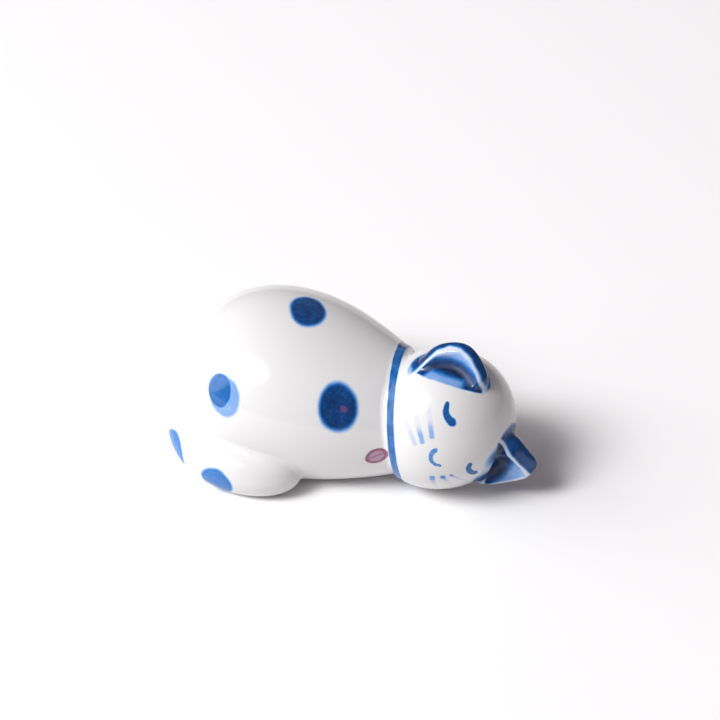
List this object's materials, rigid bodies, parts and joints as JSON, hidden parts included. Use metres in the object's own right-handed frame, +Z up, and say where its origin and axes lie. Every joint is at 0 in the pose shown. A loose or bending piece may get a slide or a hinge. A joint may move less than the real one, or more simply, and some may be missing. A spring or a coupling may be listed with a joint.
{
  "type": "cat figurine",
  "caption": "Sleeping cat figurine in glazed porcelain with cobalt spots, head laid on its side, tail curled round the flank, flat foot underneath.",
  "frame": {"origin": "middle of the body's flat foot, on the surface it stands on", "axes": "+X from rump to head, +Z up, so -Y is the side the cat faces"},
  "size_m": [0.0603, 0.035, 0.0257],
  "materials": {
    "body": "clear gloss glaze over white porcelain with cobalt spots; bare matt foot",
    "head": "clear gloss glaze over white porcelain with a face in cobalt",
    "collar": "gloss glaze over cobalt",
    "ear_upper": "gloss glaze over cobalt wash, pale on the rim",
    "ear_lower": "gloss glaze over cobalt wash, pale on the rim",
    "tail": "clear gloss glaze over white porcelain with cobalt spots"
  },
  "bodies": {
    "root": {"body_shell": "body", "head_shell": "head", "collar": "collar", "ear_upper": "ear_upper", "ear_lower": "ear_lower", "tail": "tail"}
  },
  "joints": []
}
